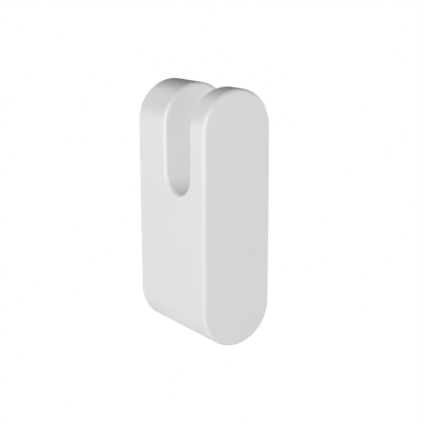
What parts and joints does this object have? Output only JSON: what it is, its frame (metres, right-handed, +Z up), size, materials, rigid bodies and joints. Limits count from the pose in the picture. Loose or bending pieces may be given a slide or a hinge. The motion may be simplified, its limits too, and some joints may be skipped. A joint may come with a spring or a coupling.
{
  "type": "magnetic towel hook",
  "caption": "Upright obround block hook with a round-bottomed slot from the top that holds a towel behind a front lip; magnets hold it to a steel plate taped to the wall.",
  "frame": {"origin": "centre of the adhesive face that sticks to the wall", "axes": "+Z up the hook, +Y into the wall, so the hook's front faces -Y, +X across its width"},
  "size_m": [0.02, 0.0286, 0.0632],
  "materials": {
    "hook_plastic": "white ABS, fine satin moulded surface",
    "cover_plastic": "white ABS, matt moulded surface",
    "grip_silicone": "grey silicone with small raised dots",
    "magnet_nickel": "nickel plated",
    "zinc_steel": "zinc plated steel",
    "plate_steel": "ferritic stainless steel, brushed",
    "tape_foam": "pale grey acrylic foam tape"
  },
  "bodies": {
    "wall_mount": {"wall_plate": "plate_steel", "adhesive_pad": "tape_foam"},
    "hook": {"hook_body": "hook_plastic", "rear_cover": "cover_plastic", "grip_pad": "grip_silicone", "upper_magnet": "magnet_nickel", "lower_magnet": "magnet_nickel", "yoke_plate": "zinc_steel", "upper_cover_screw": "zinc_steel", "lower_cover_screw": "zinc_steel"}
  },
  "joints": [
    {"name": "pull_off", "type": "slide", "parent": "wall_mount", "child": "hook", "axis": [0, -1, 0], "range_m": [0, 0.03], "stiffness_N_per_m": 40, "springref_m": -0.25}
  ]
}
